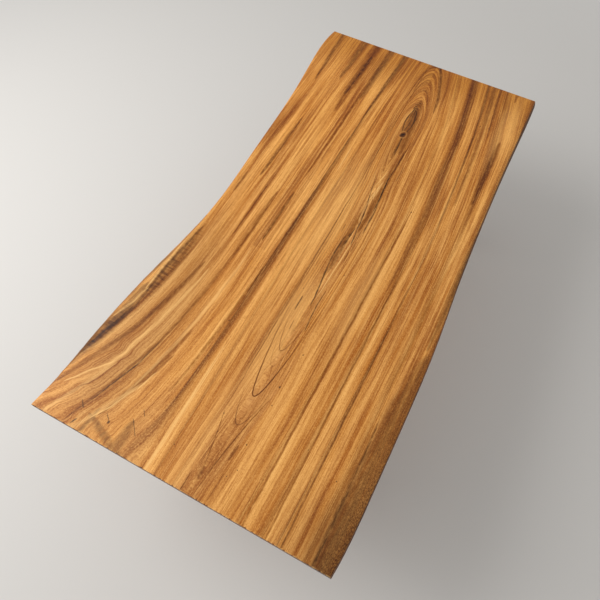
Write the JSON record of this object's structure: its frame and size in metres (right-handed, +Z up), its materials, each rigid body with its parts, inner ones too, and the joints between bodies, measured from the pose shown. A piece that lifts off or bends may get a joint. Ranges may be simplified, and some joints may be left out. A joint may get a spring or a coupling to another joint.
{
  "type": "live edge dining table",
  "caption": "Dining table with a wide live edge hardwood slab, wavy along one side, on two black steel trapezoid leg frames with levelling feet.",
  "frame": {"origin": "on the floor under the middle of the slab's outline", "axes": "+X along the table from its wide end to its narrow end, +Y towards the wavy live edge, +Z up"},
  "size_m": [2.2, 1.1557, 0.75],
  "materials": {
    "solid_wood": "satin oil over strongly striped golden brown grain",
    "black_steel": "matt black fine-textured powder coat",
    "zinc_steel": "bright zinc plating",
    "black_plastic": "moulded, matt"
  },
  "bodies": {
    "table": {"slab_top": "solid_wood", "wide_end_channel": "black_steel", "middle_channel": "black_steel", "narrow_end_channel": "black_steel", "wide_end_mounting_plate": "black_steel", "wide_end_left_post": "black_steel", "wide_end_right_post": "black_steel", "wide_end_foot_rail": "black_steel", "wide_end_plate_bolts": "zinc_steel", "narrow_end_mounting_plate": "black_steel", "narrow_end_left_post": "black_steel", "narrow_end_right_post": "black_steel", "narrow_end_foot_rail": "black_steel", "narrow_end_plate_bolts": "zinc_steel", "foot_rail_nuts": "zinc_steel"},
    "wide_end_left_pad": {"wide_end_left_foot_pad": "black_plastic"},
    "wide_end_left_stem": {"wide_end_left_foot_stem": "zinc_steel"},
    "wide_end_right_pad": {"wide_end_right_foot_pad": "black_plastic"},
    "wide_end_right_stem": {"wide_end_right_foot_stem": "zinc_steel"},
    "narrow_end_left_pad": {"narrow_end_left_foot_pad": "black_plastic"},
    "narrow_end_left_stem": {"narrow_end_left_foot_stem": "zinc_steel"},
    "narrow_end_right_pad": {"narrow_end_right_foot_pad": "black_plastic"},
    "narrow_end_right_stem": {"narrow_end_right_foot_stem": "zinc_steel"}
  },
  "joints": [
    {"name": "wide_end_left_foot_travel", "type": "slide", "parent": "table", "child": "wide_end_left_pad", "axis": [0, 0, -1], "range_m": [0, 0.015]},
    {"name": "wide_end_left_stem_turn", "type": "hinge", "parent": "wide_end_left_pad", "child": "wide_end_left_stem", "pos_m": [-0.73, 0.31, 0.02], "axis": [0, 0, -1], "range_deg": [0, 3600]},
    {"name": "wide_end_right_foot_travel", "type": "slide", "parent": "table", "child": "wide_end_right_pad", "axis": [0, 0, -1], "range_m": [0, 0.015]},
    {"name": "wide_end_right_stem_turn", "type": "hinge", "parent": "wide_end_right_pad", "child": "wide_end_right_stem", "pos_m": [-0.73, -0.34, 0.02], "axis": [0, 0, -1], "range_deg": [0, 3600]},
    {"name": "narrow_end_left_foot_travel", "type": "slide", "parent": "table", "child": "narrow_end_left_pad", "axis": [0, 0, -1], "range_m": [0, 0.015]},
    {"name": "narrow_end_left_stem_turn", "type": "hinge", "parent": "narrow_end_left_pad", "child": "narrow_end_left_stem", "pos_m": [0.73, 0.31, 0.02], "axis": [0, 0, -1], "range_deg": [0, 3600]},
    {"name": "narrow_end_right_foot_travel", "type": "slide", "parent": "table", "child": "narrow_end_right_pad", "axis": [0, 0, -1], "range_m": [0, 0.015]},
    {"name": "narrow_end_right_stem_turn", "type": "hinge", "parent": "narrow_end_right_pad", "child": "narrow_end_right_stem", "pos_m": [0.73, -0.34, 0.02], "axis": [0, 0, -1], "range_deg": [0, 3600]}
  ],
  "couplings": [
    {"joint": "wide_end_left_stem_turn", "follows": "wide_end_left_foot_travel", "rad_per_m": 4188.8},
    {"joint": "wide_end_right_stem_turn", "follows": "wide_end_right_foot_travel", "rad_per_m": 4188.8},
    {"joint": "narrow_end_left_stem_turn", "follows": "narrow_end_left_foot_travel", "rad_per_m": 4188.8},
    {"joint": "narrow_end_right_stem_turn", "follows": "narrow_end_right_foot_travel", "rad_per_m": 4188.8}
  ]
}
